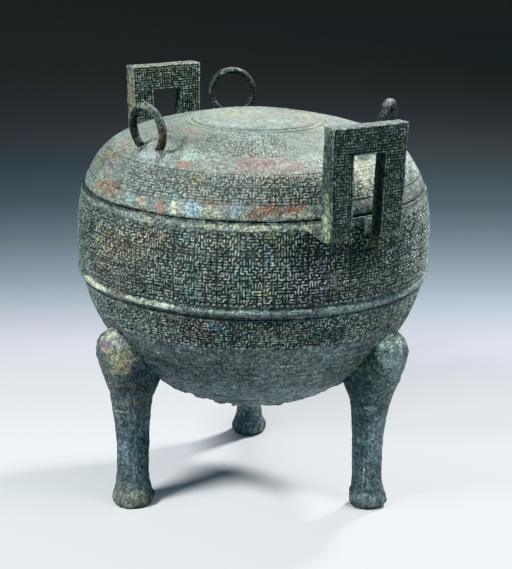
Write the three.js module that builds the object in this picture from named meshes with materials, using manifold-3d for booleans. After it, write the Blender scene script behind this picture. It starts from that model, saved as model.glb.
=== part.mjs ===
// Lidded bronze ding: a round bowl on three legs with two upright ears and a domed lid.
//
// Millimetres, +Z up. The origin is on the ground under the middle of the bowl. The ears stand
// on the X axis, one leg points to -Y, and the bowl, ears and legs are one casting. The lid is a
// casting of its own with three ring handles, and it lies loose on the ledge of the bowl's rim.

import * as THREE from 'three';
import { mergeVertices } from 'three/addons/utils/BufferGeometryUtils.js';
import Module from 'manifold-3d';

const wasm = await Module();
wasm.setup();

// ---------------------------------------------------------------- driving dimensions

const turnSides = 52; // sides of everything turned about the vessel's axis
const quarter = Math.PI / 2;

const bowl = {
  radius: 135, // widest, outside
  widestZ: 202.5,
  lowerHalf: 132.3, // height of the lower half of the outline, an ellipse
  upperHalf: 162, // the upper half belongs to a taller ellipse, cut off by the rim
  wall: 4,
  rimZ: 242, // the ledge that carries the lid
  rimBandZ: 236, // plain band below the ledge starts here
};

const mouth = {
  outerRadius: 122.8, // the flange that stands up inside the lid
  innerRadius: 119.8,
  topZ: 248,
  neckZ: 238, // the wall thickens between these two heights to carry the flange
  shoulderZ: 228,
};

const bands = {
  sink: 0.5, // how far a patterned band lies below the plain surface
  upperLow: 181.4,
  ridgeTop: 179.8,
  ridgeLow: 174.2,
  ridgeHeight: 2.3,
  grooveZ: 172,
  grooveDepth: 0.7,
  lowerHigh: 170.6,
  lowerLow: 147.3,
};

const lid = {
  gap: 0.3, // between the lid's edge and the ledge
  wall: 3.8,
  edgeRadius: 129.2,
  edgeInnerRadius: 125.2,
  topZ: 293,
  discEdge: 48, // these are distances along the dome, measured from its middle
  upperBand: [53, 94.5],
  lowerBand: [114.5, 138],
};

const ring = {
  count: 3,
  seat: 100, // distance from the axis
  turn: 40, // degrees, bearing of the first ring
  lean: 7, // degrees outwards
  middle: 17.2, // radius of the wire's centre line
  wireWide: 5.4, // in the ring's plane
  wireDeep: 6.4,
  lift: 16.4, // centre above the lid
  openAngle: 38, // degrees either side of straight down where the arc stops
  footSpread: 13,
};

const ear = {
  innerFace: 139.5, // distance of the plate's inner face from the axis, at the bottom
  thick: 13,
  thickTop: 12,
  lean: 3, // the top stands this much further out
  bottomZ: 231,
  armTopZ: 241.4,
  armEnd: 127.3, // the arm ends inside the bowl's wall
  cornerRadius: 6,
  topZ: 312,
  halfWidth: 29.3,
  halfWidthTop: 31,
  windowHalf: 12.5,
  windowTopZ: 292.5,
};

const leg = {
  count: 3,
  turn: -90, // degrees, bearing of the first leg
  sides: 16,
  topZ: 144,
};

// Height, distance of the leg's centre from the axis, half width outwards, half width sideways.
const legSections = [
  [0, 105.4, 14.1, 13.9],
  [4, 105.4, 14.8, 14.4],
  [9, 105.3, 14.4, 13.6],
  [15, 105.0, 13.0, 11.6],
  [24, 104.6, 12.2, 9.8],
  [42, 104.3, 12.6, 9.4],
  [58, 104.1, 13.6, 10.2],
  [74, 104.4, 15.6, 12.2],
  [90, 106.0, 17.8, 14.8],
  [106, 110.6, 18.9, 17.0],
  [121, 115.4, 18.6, 18.0],
  [132, 117.0, 16.2, 16.2],
  [140, 117.5, 9.8, 10.0],
];

// ---------------------------------------------------------------- helpers

const radians = (degrees) => (degrees * Math.PI) / 180;
const point = (x, y) => new THREE.Vector2(x, y);

function signedVolume(position, triangles) {
  const [a, b, c] = [new THREE.Vector3(), new THREE.Vector3(), new THREE.Vector3()];
  let volume = 0;
  for (let i = 0; i < triangles.length; i += 3) {
    a.fromBufferAttribute(position, triangles[i]);
    b.fromBufferAttribute(position, triangles[i + 1]);
    c.fromBufferAttribute(position, triangles[i + 2]);
    volume += a.dot(b.cross(c)) / 6;
  }
  return volume;
}

// A closed geometry as a solid for cutting and joining, with its faces turned outwards.
function solid(geometry) {
  const bare = geometry.clone();
  bare.deleteAttribute('normal');
  bare.deleteAttribute('uv');
  const merged = mergeVertices(bare, 1e-3);
  const index = merged.index.array;
  const triangles = [];
  for (let i = 0; i < index.length; i += 3) {
    const corners = [index[i], index[i + 1], index[i + 2]];
    if (new Set(corners).size === 3) triangles.push(...corners);
  }
  const position = merged.attributes.position;
  if (signedVolume(position, triangles) < 0) triangles.reverse();
  return new wasm.Manifold(new wasm.Mesh({
    numProp: 3,
    vertProperties: new Float32Array(position.array),
    triVerts: new Uint32Array(triangles),
  }));
}

function geometryOf(manifold) {
  const mesh = manifold.getMesh();
  const geometry = new THREE.BufferGeometry();
  geometry.setAttribute('position', new THREE.BufferAttribute(mesh.vertProperties, 3));
  geometry.setIndex(new THREE.BufferAttribute(mesh.triVerts, 1));
  geometry.computeVertexNormals();
  return geometry;
}

// A profile of (radius, height) points turned about the vertical axis.
function turned(profile, sides = turnSides) {
  return new THREE.LatheGeometry(profile, sides).rotateX(quarter);
}

const joined = (solids) => solids.reduce((all, one) => all.add(one));

// Copies of a shape, evenly spaced about the vertical axis.
function aroundAxis(count, firstDegrees, makeGeometry) {
  const copies = [];
  for (let i = 0; i < count; i += 1) {
    const bearing = radians(firstDegrees + (360 / count) * i);
    copies.push(solid(makeGeometry().rotateZ(bearing)));
  }
  return copies;
}

// ---------------------------------------------------------------- bowl

function bowlRadiusAt(z, inset = 0) {
  const half = z < bowl.widestZ ? bowl.lowerHalf - inset : bowl.upperHalf;
  const rise = Math.min(1, Math.abs(z - bowl.widestZ) / half);
  return (bowl.radius - inset) * Math.sqrt(1 - rise * rise);
}

// Points of the round bottom, from the axis up to the height given.
function bowlBottom(topZ, steps, inset = 0) {
  const half = bowl.lowerHalf - inset;
  const last = Math.acos((bowl.widestZ - topZ) / half);
  const points = [];
  for (let i = 0; i <= steps; i += 1) {
    const angle = (last * i) / steps;
    points.push(point((bowl.radius - inset) * Math.sin(angle), bowl.widestZ - half * Math.cos(angle)));
  }
  return points;
}

// Points on the bowl's side between two heights, raised or sunk by an offset.
function sideBand(lowZ, highZ, steps, offset = 0) {
  const points = [];
  for (let i = 0; i <= steps; i += 1) {
    const z = lowZ + ((highZ - lowZ) * i) / steps;
    points.push(point(bowlRadiusAt(z) + offset, z));
  }
  return points;
}

// The raised bowstring that runs round the bowl.
function bowstring() {
  const middleZ = (bands.ridgeTop + bands.ridgeLow) / 2;
  const halfZ = (bands.ridgeTop - bands.ridgeLow) / 2;
  return [-1, -0.6, 0, 0.6, 1].map((side) => {
    const z = middleZ + side * halfZ;
    return point(bowlRadiusAt(z) + bands.ridgeHeight * Math.sqrt(1 - side * side), z);
  });
}

function incisedLine(z, depth) {
  const half = 0.6;
  return [
    point(bowlRadiusAt(z - half), z - half),
    point(bowlRadiusAt(z) - depth, z),
    point(bowlRadiusAt(z + half), z + half),
  ];
}

function bowlOutside() {
  const step = 0.3; // height of the small step at a band's edge
  return turned([
    ...bowlBottom(bands.lowerLow - step, 8),
    ...sideBand(bands.lowerLow, bands.lowerHigh, 2, -bands.sink),
    ...incisedLine(bands.grooveZ, bands.grooveDepth),
    ...bowstring(),
    ...sideBand(bands.upperLow, bowl.rimBandZ - step, 5, -bands.sink),
    ...sideBand(bowl.rimBandZ, bowl.rimZ, 1),
    point(mouth.outerRadius, bowl.rimZ),
    point(mouth.outerRadius, mouth.topZ),
    point(0, mouth.topZ),
  ]);
}

function bowlInside() {
  return turned([
    ...bowlBottom(bowl.widestZ, 9, bowl.wall),
    point(bowlRadiusAt(mouth.shoulderZ, bowl.wall), mouth.shoulderZ),
    point(mouth.innerRadius, mouth.neckZ),
    point(mouth.innerRadius, mouth.topZ + 10),
    point(0, mouth.topZ + 10),
  ]);
}

// ---------------------------------------------------------------- legs

// A leg as a turned shape, then widened, flattened and moved out by its sections.
function legShape() {
  const profile = [
    point(0, 0),
    ...legSections.map(([z]) => point(1, z)),
    point(0, leg.topZ),
  ];
  const shape = turned(profile, leg.sides);
  const position = shape.attributes.position;
  const sectionAt = new Map(legSections.map((section) => [section[0], section]));
  for (let i = 0; i < position.count; i += 1) {
    const z = position.getZ(i);
    const nearest = [...sectionAt.keys()].reduce((a, b) => (Math.abs(b - z) < Math.abs(a - z) ? b : a));
    const [, centre, outwards, sideways] = sectionAt.get(nearest);
    position.setXY(i, centre + position.getX(i) * outwards, position.getY(i) * sideways);
  }
  return shape;
}

// ---------------------------------------------------------------- ears

// The ear seen from its side: an upright plate whose lower end turns in to the bowl.
function earSide() {
  const outer = ear.innerFace + ear.thick;
  const corner = ear.cornerRadius;
  const shape = new THREE.Shape();
  shape.moveTo(ear.armEnd, ear.bottomZ);
  shape.lineTo(outer - corner, ear.bottomZ);
  shape.absarc(outer - corner, ear.bottomZ + corner, corner, -quarter, 0, false);
  shape.lineTo(ear.innerFace + ear.lean + ear.thickTop, ear.topZ);
  shape.lineTo(ear.innerFace + ear.lean, ear.topZ);
  shape.lineTo(ear.innerFace, ear.armTopZ);
  shape.lineTo(ear.armEnd, ear.armTopZ);
  const depth = 2 * ear.halfWidthTop + 2;
  const plate = new THREE.ExtrudeGeometry(shape, { depth, bevelEnabled: false, curveSegments: 5 });
  return plate.rotateX(quarter).translate(0, depth / 2, 0);
}

// The ear seen from the front: two bars under one crosspiece, open at the bottom.
function earFront() {
  const lowZ = ear.bottomZ - 1;
  const shape = new THREE.Shape([
    point(-ear.halfWidth, lowZ),
    point(-ear.windowHalf, lowZ),
    point(-ear.windowHalf, ear.windowTopZ),
    point(ear.windowHalf, ear.windowTopZ),
    point(ear.windowHalf, lowZ),
    point(ear.halfWidth, lowZ),
    point(ear.halfWidthTop, ear.topZ + 1),
    point(-ear.halfWidthTop, ear.topZ + 1),
  ]);
  const start = ear.armEnd - 1;
  const depth = ear.innerFace + ear.thick + ear.lean + 1 - start;
  const plate = new THREE.ExtrudeGeometry(shape, { depth, bevelEnabled: false });
  const sideways = new THREE.Vector3(0, 1, 0);
  const up = new THREE.Vector3(0, 0, 1);
  const outwards = new THREE.Vector3(1, 0, 0);
  plate.applyMatrix4(new THREE.Matrix4().makeBasis(sideways, up, outwards));
  return plate.translate(start, 0, 0);
}

function ears() {
  const sides = aroundAxis(2, 0, earSide);
  const fronts = aroundAxis(2, 0, earFront);
  return sides.map((side, i) => side.intersect(fronts[i]));
}

// ---------------------------------------------------------------- lid

// Half outline of the dome from its middle to its edge, as (radius, height).
const dome = new THREE.SplineCurve([
  point(0, lid.topZ),
  point(42, lid.topZ - 1.2),
  point(68, lid.topZ - 5.4),
  point(90, lid.topZ - 11.3),
  point(106, lid.topZ - 18),
  point(117, lid.topZ - 26.6),
  point(123.6, lid.topZ - 36.6),
  point(127.3, lid.topZ - 44),
  point(lid.edgeRadius, bowl.rimZ + lid.gap),
]);
const domeLength = dome.getLength();

// The point at a distance along the dome, raised or sunk across its surface.
function domePoint(distance, offset = 0) {
  const share = distance / domeLength;
  const place = dome.getPointAt(share);
  const along = dome.getTangentAt(share);
  return point(place.x - along.y * offset, place.y + along.x * offset);
}

function domeBand(from, to, steps, offset = 0) {
  const points = [];
  for (let i = 0; i <= steps; i += 1) {
    points.push(domePoint(from + ((to - from) * i) / steps, offset));
  }
  return points;
}

function lidOutside() {
  const step = 0.4;
  const [upperIn, upperOut] = lid.upperBand;
  const [lowerIn, lowerOut] = lid.lowerBand;
  return turned([
    point(0, lid.topZ),
    domePoint(lid.discEdge - 2),
    domePoint(lid.discEdge - 1, bands.sink),
    domePoint(lid.discEdge),
    ...domeBand(upperIn, upperOut, 2, -bands.sink),
    ...domeBand(upperOut + step, lowerIn - step, 2),
    ...domeBand(lowerIn, lowerOut, 2, -bands.sink),
    ...domeBand(lowerOut + step, domeLength, 2),
    point(0, bowl.rimZ + lid.gap),
  ]);
}

function lidInside() {
  const edgeZ = bowl.rimZ + lid.gap;
  const innerEnd = domeLength - 12;
  return turned([
    point(0, lid.topZ - lid.wall),
    ...domeBand(lid.discEdge, innerEnd, 5, -lid.wall),
    point(lid.edgeInnerRadius, edgeZ),
    point(lid.edgeInnerRadius, edgeZ - 5),
    point(0, edgeZ - 5),
  ]);
}

// Moves a shape made in a ring's own plane, with its foot at the origin, to its seat on the lid.
function seatOnLid(shape) {
  const seatZ = domePoint(ring.seat + 1.6).y;
  return shape.rotateY(radians(ring.lean)).translate(ring.seat, 0, seatZ);
}

// The round wire of a ring handle: a hoop that stops short of the lid at both ends.
function ringWire() {
  const start = -quarter + radians(ring.openAngle);
  const sweep = 2 * Math.PI - 2 * radians(ring.openAngle);
  const pointOnHoop = (share) => {
    const angle = start + sweep * share;
    return new THREE.Vector3(0, ring.middle * Math.cos(angle), ring.lift + ring.middle * Math.sin(angle));
  };
  const path = new THREE.CatmullRomCurve3(Array.from({ length: 17 }, (_, i) => pointOnHoop(i / 16)));
  const section = new THREE.Shape();
  section.absellipse(0, 0, ring.wireWide / 2, ring.wireDeep / 2, 0, 2 * Math.PI);
  const wire = new THREE.ExtrudeGeometry(section, { steps: 16, curveSegments: 4, extrudePath: path });
  return seatOnLid(wire);
}

// One of the two flared feet that root a ring in the lid.
function ringFoot(side) {
  const foot = new THREE.CylinderGeometry(2.9, 5, 10, 10, 1).rotateX(quarter);
  return seatOnLid(foot.translate(0, side * ring.footSpread, 2.6));
}

function rings() {
  return [
    ...aroundAxis(ring.count, ring.turn, ringWire),
    ...aroundAxis(ring.count, ring.turn, () => ringFoot(-1)),
    ...aroundAxis(ring.count, ring.turn, () => ringFoot(1)),
  ];
}

// ---------------------------------------------------------------- the two castings

function vesselCasting() {
  const body = solid(bowlOutside());
  const whole = joined([body, ...aroundAxis(leg.count, leg.turn, legShape), ...ears()]);
  return whole.subtract(solid(bowlInside()));
}

function lidCasting() {
  const whole = joined([solid(lidOutside()), ...rings()]);
  return whole.subtract(solid(lidInside()));
}

function part(name, manifold, color) {
  const material = new THREE.MeshStandardMaterial({ color, roughness: 0.72, metalness: 0.45 });
  const mesh = new THREE.Mesh(geometryOf(manifold), material);
  mesh.name = name;
  return mesh;
}

const group = new THREE.Group();
group.add(part('vessel', vesselCasting(), '#2f4742'));
group.add(part('lid', lidCasting(), '#8b9d8d'));

export default group;
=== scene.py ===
import bisect
import math
import random

import bmesh
import bpy
from mathutils import Matrix, Vector, noise


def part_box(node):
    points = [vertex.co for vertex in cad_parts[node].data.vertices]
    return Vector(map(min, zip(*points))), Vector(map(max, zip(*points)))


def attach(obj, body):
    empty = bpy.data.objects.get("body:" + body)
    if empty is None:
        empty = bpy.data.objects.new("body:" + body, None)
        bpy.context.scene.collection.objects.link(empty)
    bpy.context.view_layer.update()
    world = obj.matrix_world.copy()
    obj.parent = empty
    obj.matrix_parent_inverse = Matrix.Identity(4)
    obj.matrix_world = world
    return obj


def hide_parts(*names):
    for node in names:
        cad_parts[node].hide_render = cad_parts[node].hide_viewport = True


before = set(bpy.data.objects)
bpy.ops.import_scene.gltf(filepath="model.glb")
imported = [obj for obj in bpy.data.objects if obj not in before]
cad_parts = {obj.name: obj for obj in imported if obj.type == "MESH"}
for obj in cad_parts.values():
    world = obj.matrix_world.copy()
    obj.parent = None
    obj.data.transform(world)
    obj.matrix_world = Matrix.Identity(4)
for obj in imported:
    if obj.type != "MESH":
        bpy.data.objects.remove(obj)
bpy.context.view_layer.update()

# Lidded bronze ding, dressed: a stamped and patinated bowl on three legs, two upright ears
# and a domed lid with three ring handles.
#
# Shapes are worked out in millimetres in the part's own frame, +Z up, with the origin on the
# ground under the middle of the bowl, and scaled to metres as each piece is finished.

mm = 0.001
full_turn = 2 * math.pi

# ---------------------------------------------------------------- sizes of the bowl

body_radius = 135.0  # widest, outside
widest_z = 1.5 * body_radius
lower_half = 0.98 * body_radius  # height of the lower half of the outline, an ellipse
upper_half = 1.2 * body_radius  # the upper half belongs to a taller ellipse
lid_gap = 0.3
rim_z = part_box("lid")[0].z / mm - lid_gap  # the ledge that carries the lid
rim_band_z = rim_z - 6.0
body_wall = 4.0
bowl_columns = 288  # facets round the bowl
cast_skin_top_z = 195.0  # the rough cast skin of the wall is followed up to here

flange_outer = 122.8
flange_inner = flange_outer - 3.0
flange_top_z = rim_z + 6.0

upper_band = (181.4, rim_band_z - 0.3)  # heights of the two stamped registers
lower_band = (147.3, 170.6)
ridge_low_z = 174.2
ridge_high_z = 179.8
ridge_height = 2.3
groove_z = 172.0
bed_depth = 1.7  # the stamped skins lie in beds this deep
stamp_depth = 0.95
edge_relief = 0.9  # how far the border of a stamped band stands up
corner_relief = 0.45  # how high the rounded outer corner of a line is
hand_slip = 0.35  # how far the hand-cut lines stray, in pattern units

# ---------------------------------------------------------------- sizes of the lid

dome_top_z = 293.0
dome_edge = (129.2, rim_z + lid_gap)
dome_drops = [  # distance from the axis, and how far the dome has dropped there
    (0.0, 0.0),
    (42.0, 1.2),
    (68.0, 5.4),
    (90.0, 11.3),
    (106.0, 18.0),
    (117.0, 26.6),
    (123.6, 36.6),
    (127.3, 44.0),
]
lid_wall = 3.8
lid_columns = 256  # facets round the lid
disc_edge = 48.0  # these are distances along the dome from its middle
disc_grooves = (15, 30, 42)
lid_upper_band = (53.0, 94.5)
lid_lower_band = (114.5, 138.0)
crown_low_z = 262.0  # between these heights the lid turns from its lower tones to its upper ones
crown_high_z = 292.0

# ---------------------------------------------------------------- sizes of rings, ears and legs

ring_count = 3
ring_bearing = 40.0
ring_seat = 100.0
ring_lean = 7.0
ring_middle = 17.2
ring_lift = 16.4
ring_wire = (2.7, 3.2)  # half width in the ring's plane, and across it
ring_open = 38.0  # degrees either side of straight down where the wire stops
ring_foot_spread = 13.0
ring_foot_outline = [  # radius and height
    (0, 7.2), (1.7, 7.1), (2.5, 6.2), (2.7, 4.4), (2.9, 2.2), (3.6, 0.6), (4.1, -2.4), (0, -2.4),
]

ear_inner = 139.5
ear_thick = 13.0
ear_thick_top = 12.0
ear_lean = 3.0
ear_low_z = 231.0
ear_high_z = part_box("vessel")[1].z / mm
ear_half = 29.3
ear_half_top = 31.0
ear_corner = 6.0
ear_arm_top_z = rim_z - 0.6
ear_arm_end = 127.3
ear_columns = 59  # pattern units across and up
ear_rows = 79
ear_window = (17, 60)  # units left of the window, and up to its top
side_relief = 0.65  # what the unstamped sides of an ear count as, between groove and line

block_units = 16  # a stamped block is this many raised lines and grooves wide
body_flat = 0.36  # the flat top of a raised line on the body, in pattern units
lid_flat = 0.6  # and on the lid, where the lines are worn wider

leg_count = 3
leg_columns = 64  # facets round a leg
leg_bearing = -90.0
leg_sections = [  # height, distance from the axis, half width outwards, half width sideways
    (0.0, 105.4, 11.6, 11.4),
    (1.5, 105.4, 13.4, 13.0),
    (4.5, 105.4, 14.3, 13.9),
    (8.5, 105.4, 14.2, 13.6),
    (12.5, 105.2, 13.2, 12.2),
    (17.0, 105.0, 12.3, 10.8),
    (26.0, 104.8, 12.0, 9.9),
    (42.0, 104.6, 12.2, 9.6),
    (58.0, 104.6, 12.8, 10.0),
    (74.0, 105.2, 14.4, 11.2),
    (90.0, 107.0, 16.8, 13.4),
    (106.0, 111.2, 18.3, 16.2),
    (121.0, 115.4, 18.6, 18.0),
    (132.0, 117.0, 16.2, 16.2),
    (139.0, 117.5, 11.0, 11.4),
    (143.0, 117.5, 5.0, 5.0),
]
leg_inset = [  # how far each leg stands in towards the axis, at its foot, shin and knee
    (0.3, -0.2, 1.2),
    (1.3, 2.0, 2.6),
    (0.0, 0.0, 0.0),
]
leg_fullness = [  # and how full it is there
    (1.10, 1.055, 0.985),
    (1.0, 0.98, 1.0),
    (1.0, 1.0, 1.0),
]
leg_web = 9.0  # how far the inside of a leg spreads towards the bowl, between these heights
leg_web_low_z = 82.0
leg_web_high_z = 103.0


# ---------------------------------------------------------------- small helpers

def polar(bearing, radius, z):
    """A point at a bearing in radians and a radius from the vertical axis."""
    return Vector((radius * math.cos(bearing), radius * math.sin(bearing), z))


def lerp(a, b, share):
    return a + (b - a) * share


def clamp(value, low=0.0, high=1.0):
    return max(low, min(high, value))


def ease(value, low, high):
    """0 below low, 1 above high, and smooth in between."""
    share = clamp((value - low) / (high - low))
    return share * share * (3 - 2 * share)


def lumps(place, size, seed=0.0):
    """Soft noise from about -1 to 1, with lumps of the size given."""
    return noise.noise(place / size + Vector((seed, seed * 0.7, -seed)))


def rough(place, size, octaves=4, seed=0.0):
    """Broken noise from about -1 to 1, with its broadest lumps of the size given."""
    return noise.fractal(place / size + Vector((seed, -seed, seed * 0.4)), 0.8, 2.1, octaves)


# ---------------------------------------------------------------- outline of bowl and dome

def body_radius_at(z, inset=0.0):
    """Radius of the bowl at a height, or of a shell that lies inset inside it."""
    half = lower_half - inset if z < widest_z else upper_half
    rise = min(1.0, abs(z - widest_z) / half)
    return (body_radius - inset) * math.sqrt(1 - rise * rise)


def smooth_curve(points, steps):
    """A rounded line through the points, as a dense list of places."""
    places = []
    last = len(points) - 1
    for i in range(last):
        before = points[max(0, i - 1)]
        start = points[i]
        end = points[i + 1]
        after = points[min(last, i + 2)]
        for k in range(steps):
            t = k / steps
            places.append(tuple(
                0.5 * (2 * b + (c - a) * t + (2 * a - 5 * b + 4 * c - d) * t ** 2
                       + (3 * b - a - 3 * c + d) * t ** 3)
                for a, b, c, d in zip(before, start, end, after)
            ))
    places.append(points[-1])
    return places


dome_line = smooth_curve([(r, dome_top_z - drop) for r, drop in dome_drops] + [dome_edge], 60)
dome_lengths = [0.0]
for a, b in zip(dome_line, dome_line[1:]):
    dome_lengths.append(dome_lengths[-1] + math.dist(a, b))
dome_length = dome_lengths[-1]


def dome_point(distance, lift=0.0):
    """(radius, height) at a distance along the dome, raised across its surface by lift."""
    i = clamp(bisect.bisect_right(dome_lengths, distance) - 1, 0, len(dome_line) - 2)
    (r0, z0), (r1, z1) = dome_line[i], dome_line[i + 1]
    length = dome_lengths[i + 1] - dome_lengths[i]
    share = (distance - dome_lengths[i]) / length
    along = ((r1 - r0) / length, (z1 - z0) / length)
    return lerp(r0, r1, share) - along[1] * lift, lerp(z0, z1, share) + along[0] * lift


# ---------------------------------------------------------------- mesh helpers

def turned(bm, profile, columns):
    """Spins a line of (radius, height) points about the vertical axis."""
    verts = [bm.verts.new((r, 0.0, z)) for r, z in profile]
    edges = [bm.edges.new(pair) for pair in zip(verts, verts[1:])]
    bmesh.ops.spin(
        bm, geom=verts + edges, cent=(0, 0, 0), axis=(0, 0, 1),
        angle=full_turn, steps=columns, use_merge=True,
    )
    bmesh.ops.remove_doubles(bm, verts=bm.verts[:], dist=0.001)


def move(bm, way):
    """Shifts a whole mesh."""
    bmesh.ops.translate(bm, vec=way, verts=bm.verts[:])


def swing(bm, degrees, axis):
    """Turns a mesh about an axis through the origin."""
    turn = Matrix.Rotation(math.radians(degrees), 3, axis)
    bmesh.ops.rotate(bm, cent=(0, 0, 0), matrix=turn, verts=bm.verts[:])


def join(bm, part):
    """Adds one mesh to another."""
    mesh = bpy.data.meshes.new("joined")
    part.to_mesh(mesh)
    part.free()
    bm.from_mesh(mesh)
    bpy.data.meshes.remove(mesh)


def set_out(name, data):
    """Puts an object of the name and data given in the scene."""
    thing = bpy.data.objects.new(name, data)
    bpy.context.scene.collection.objects.link(thing)
    return thing


def finish_piece(name, bm, node, material, sharp=None):
    """Cleans a mesh, scales it to metres and sets it out as a piece that stands for a node."""
    bmesh.ops.remove_doubles(bm, verts=bm.verts[:], dist=0.002)
    bmesh.ops.recalc_face_normals(bm, faces=bm.faces[:])
    bmesh.ops.scale(bm, vec=(mm, mm, mm), verts=bm.verts[:])
    mesh = bpy.data.meshes.new(name)
    bm.to_mesh(mesh)
    bm.free()
    mesh.polygons.foreach_set("use_smooth", [True] * len(mesh.polygons))
    if sharp is not None:
        mesh.set_sharp_from_angle(angle=math.radians(sharp))
    mesh.materials.append(material)
    piece = set_out(name, mesh)
    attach(piece, "root")
    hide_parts(node)


# ---------------------------------------------------------------- the stamped meander

compass = ((2, 0), (0, 2), (-2, 0), (0, -2))
hook_runs = ((1, 1, 1), (2, 1, 1), (1, 2, 1), (2, 1, 1, 1), (2, 2, 1, 1), (3, 1, 2), (2, 1, 3))


def walk_hook(here, free, draw):
    """One short hook of straight runs and turns. Returns the cells it raises."""
    turn = draw.choice((-1, 1))
    heading = draw.randrange(4)
    raised = {here}
    for run in draw.choice(hook_runs):
        for _ in range(run):
            ahead = (here[0] + compass[heading][0], here[1] + compass[heading][1])
            if ahead not in free:
                break
            free.discard(ahead)
            raised.add(ahead)
            raised.add(((here[0] + ahead[0]) // 2, (here[1] + ahead[1]) // 2))
            here = ahead
        heading = (heading + turn) % 4
        if draw.random() < 0.2:
            turn = -turn
    return raised


def hooked_lines(nodes, seed):
    """Covers a lattice of nodes two cells apart with hooks and returns the raised cells."""
    draw = random.Random(seed)
    free = set(nodes)
    raised = set()
    while free:
        here = draw.choice(sorted(free)[:5])
        free.discard(here)
        line = walk_hook(here, free, draw)
        if len(line) == 1 and draw.random() < 0.6:
            way = draw.choice(compass)
            if (here[0] + way[0], here[1] + way[1]) in raised:
                line.add((here[0] + way[0] // 2, here[1] + way[1] // 2))
        raised |= line
    return raised


def stamped_band(blocks, rows, seed, seams):
    """Raised cells of a band, stamped block by block with two dies, every other block turned over.

    seams are the rows where one course of stamps meets the next.
    """
    nodes = [(c, r) for c in range(0, block_units - 1, 2) for r in range(1, rows - 1, 2)]
    dies = [hooked_lines(nodes, seed), hooked_lines(nodes, seed + 1)]
    raised = set()
    for block in range(blocks):
        flipped = block % 2 == 1
        for c, r in dies[block % 3 == 2]:
            if r in seams:
                continue
            column = block_units - 2 - c if flipped else c
            raised.add((block * block_units + column, r))
    return raised


def line_cell(index):
    """The unit that a grid line belongs to: two lines for a raised unit, one for a groove."""
    pair, step = divmod(index, 3)
    return 2 * pair + step // 2


def line_share(index, flat=0.4):
    """Where a grid line lies, in units: either side of a raised line's flat top, and down the groove."""
    pair, step = divmod(index, 3)
    return 2 * pair + 0.5 + (-flat / 2, flat / 2, 1.0)[step]


def line_height(i, j, raised, columns):
    """1 on a raised line, 0 in a groove, and corner_relief where a hook turns."""
    column, row = line_cell(i) % columns, line_cell(j)
    if (column, row) not in raised:
        return 0.0
    if i % 3 == 2 or j % 3 == 2:
        return 1.0
    beside = (column + (1 if i % 3 == 1 else -1)) % columns
    above = row + (1 if j % 3 == 1 else -1)
    if (beside, row) in raised or (column, above) in raised:
        return 1.0
    return corner_relief


def build_band(name, skin, band, blocks, rows, seed, seams=()):
    """A closed ring of stamped metal.

    skin says what it stands for and is made of, which surface it lies on, how it is worn and how flat
    its lines are. band is where it begins and ends there.
    """
    node, slot_name, material, lie_on, worn, flat = skin
    place = lie_on(*band)
    raised = stamped_band(blocks, rows, seed, seams)
    columns = blocks * block_units
    bm = bmesh.new()
    relief = bm.verts.layers.float.new("relief")
    across = 3 * columns // 2
    upward = 3 * (rows - 1) // 2
    bmesh.ops.create_grid(bm, x_segments=across, y_segments=upward, size=0.5)
    shifted = {(c, r - 1) for c, r in raised}
    for vert in bm.verts:
        i = round((vert.co.x + 0.5) * across)
        j = round((vert.co.y + 0.5) * upward)
        at_edge = j in (0, upward)
        vert.co.x = line_share(i, flat) / columns
        vert.co.y = j / upward if at_edge else (line_share(j - 1, flat) + 1) / rows
        vert[relief] = edge_relief if at_edge else line_height(i, j - 1, shifted, columns)
    ends = [e for e in bm.edges if e.is_boundary and abs(e.verts[0].co.y - e.verts[1].co.y) < 1e-6]
    made = bmesh.ops.extrude_edge_only(bm, edges=ends)["geom"]
    inner = {g for g in made if isinstance(g, bmesh.types.BMVert)}
    for vert in bm.verts:
        share_round, share_up = vert.co.x, vert.co.y
        if vert in inner:
            vert[relief] = 0.0
            vert.co = place(share_round, 0.0 if share_up < 0.5 else 1.0, -bed_depth - 0.6)
            continue
        plain = place(share_round, share_up, 0.0)
        sway = hand_slip * lumps(plain, 3.4, 12.0) / columns
        height = vert[relief]
        fill, low = worn(plain)
        height = lerp(height, 0.7, fill) - low
        vert[relief] = clamp(height)
        vert.co = place(share_round + sway, share_up, -stamp_depth + (stamp_depth - 0.1) * height)
    bmesh.ops.remove_doubles(bm, verts=bm.verts[:], dist=0.02)
    open_edges = [e for e in bm.edges if e.is_boundary]
    bmesh.ops.bridge_loops(bm, edges=open_edges)
    finish_piece(name, bm, node, material)


def on_body(low_z, high_z):
    """How a band between two heights lies on the bowl."""
    def place(share_round, share_up, lift):
        z = lerp(low_z, high_z, share_up)
        return polar(share_round * full_turn, body_radius_at(z) + lift, z)
    return place


def on_dome(inner, outer):
    """How a band between two distances along the dome lies on the lid."""
    def place(share_round, share_up, lift):
        r, z = dome_point(lerp(outer, inner, share_up), lift)
        return polar(share_round * full_turn, r, z)
    return place


def body_wear(place):
    """How far crust fills the grooves at a place, and how far the lines are rubbed down."""
    fill = ease(rough(place, 34.0, 4, 3.1), 0.25, 0.85) * 0.6
    low = 0.2 * lumps(place, 2.6, 5.0) + 0.22 * lumps(place, 12.0, 7.0)
    return fill, low


high_fields = [(57.0, -45.0), (-16.0, 72.0), (-70.0, 10.0)]  # where the lid's stamping is still clear
low_fields = [(88.0, -79.0), (-84.0, 82.0)]


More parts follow.
